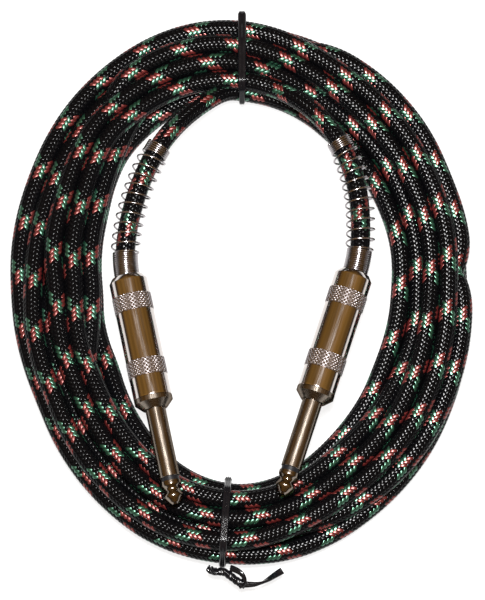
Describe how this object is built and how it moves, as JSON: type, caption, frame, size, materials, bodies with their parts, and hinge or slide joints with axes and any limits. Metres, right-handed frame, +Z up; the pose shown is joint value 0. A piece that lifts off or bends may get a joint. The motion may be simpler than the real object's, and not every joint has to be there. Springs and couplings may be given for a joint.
{
  "type": "instrument cable",
  "caption": "Coiled braided instrument cable with straight mono plugs, spring strain reliefs and twist ties.",
  "frame": {"origin": "middle of the plugs and ties seen from above, on the surface the coil lies on", "axes": "+Z up; +Y from the plugs' tips towards their springs and the upper twist tie; +X to the right seen from above"},
  "size_m": [0.146, 0.1838, 0.0297],
  "materials": {
    "nickel_tip": "satin nickel plate",
    "nickel_shaft": "satin nickel plate with fine turning marks",
    "nickel_barrel": "bright nickel plate with knurled bands",
    "spring_steel": "bright nickel-plated spring wire",
    "black_plastic": "moulded black insulator",
    "liner_plastic": "thin black sleeve",
    "fibre_washer": "brown fibre board",
    "tinned_brass": "tinned brass strip",
    "solder": "dull tin solder",
    "copper": "bare copper",
    "natural_plastic": "natural polyethylene",
    "black_rubber": "soft black jacket",
    "braid": "woven black yarn with red and green tracer yarns",
    "tie_wire": "annealed steel wire",
    "tie_plastic": "black plastic ribbon"
  },
  "bodies": {
    "cable": {"plug_left_tip_contact": "nickel_tip", "plug_left_front_insulator": "black_plastic", "plug_left_sleeve_body": "nickel_shaft", "plug_left_ground_terminal": "tinned_brass", "plug_left_insulating_washer": "fibre_washer", "plug_left_tip_terminal": "tinned_brass", "plug_left_solder_tip": "solder", "plug_left_solder_ground": "solder", "plug_left_conductor": "copper", "plug_left_core_insulation": "natural_plastic", "plug_left_shield": "copper", "plug_left_inner_jacket": "black_rubber", "plug_left_braid_end": "braid", "plug_right_tip_contact": "nickel_tip", "plug_right_front_insulator": "black_plastic", "plug_right_sleeve_body": "nickel_shaft", "plug_right_ground_terminal": "tinned_brass", "plug_right_insulating_washer": "fibre_washer", "plug_right_tip_terminal": "tinned_brass", "plug_right_solder_tip": "solder", "plug_right_solder_ground": "solder", "plug_right_conductor": "copper", "plug_right_core_insulation": "natural_plastic", "plug_right_shield": "copper", "plug_right_inner_jacket": "black_rubber", "plug_right_braid_end": "braid", "cable_coil": "braid", "cable_lead_left": "braid", "cable_lead_right": "braid", "tie_top_wire": "tie_wire", "tie_top_sleeve": "tie_plastic", "tie_bottom_wire": "tie_wire", "tie_bottom_sleeve": "tie_plastic"},
    "plug_left_spring_slide": {"plug_left_spring": "spring_steel"},
    "plug_left_barrel_turn": {"plug_left_barrel": "nickel_barrel", "plug_left_liner": "liner_plastic"},
    "plug_right_spring_slide": {"plug_right_spring": "spring_steel"},
    "plug_right_barrel_turn": {"plug_right_barrel": "nickel_barrel", "plug_right_liner": "liner_plastic"}
  },
  "joints": [
    {"name": "plug_left_slide", "type": "slide", "parent": "cable", "child": "plug_left_spring_slide", "axis": [-0.2045, 0.9789, 0], "range_m": [0, 0.0048], "deforming": ["plug_left_spring"]},
    {"name": "plug_left_turn", "type": "hinge", "parent": "plug_left_spring_slide", "child": "plug_left_barrel_turn", "pos_m": [-0.03109, -0.02012, 0.0235], "axis": [-0.2045, 0.9789, 0], "range_deg": [0, 2160]},
    {"name": "plug_right_slide", "type": "slide", "parent": "cable", "child": "plug_right_spring_slide", "axis": [0.3057, 0.9521, 0], "range_m": [0, 0.0048], "deforming": ["plug_right_spring"]},
    {"name": "plug_right_turn", "type": "hinge", "parent": "plug_right_spring_slide", "child": "plug_right_barrel_turn", "pos_m": [0.02811, -0.01826, 0.0235], "axis": [0.3057, 0.9521, 0], "range_deg": [0, 2160]}
  ],
  "couplings": [
    {"joint": "plug_left_turn", "follows": "plug_left_slide", "rad_per_m": 7854},
    {"joint": "plug_right_turn", "follows": "plug_right_slide", "rad_per_m": 7854}
  ]
}
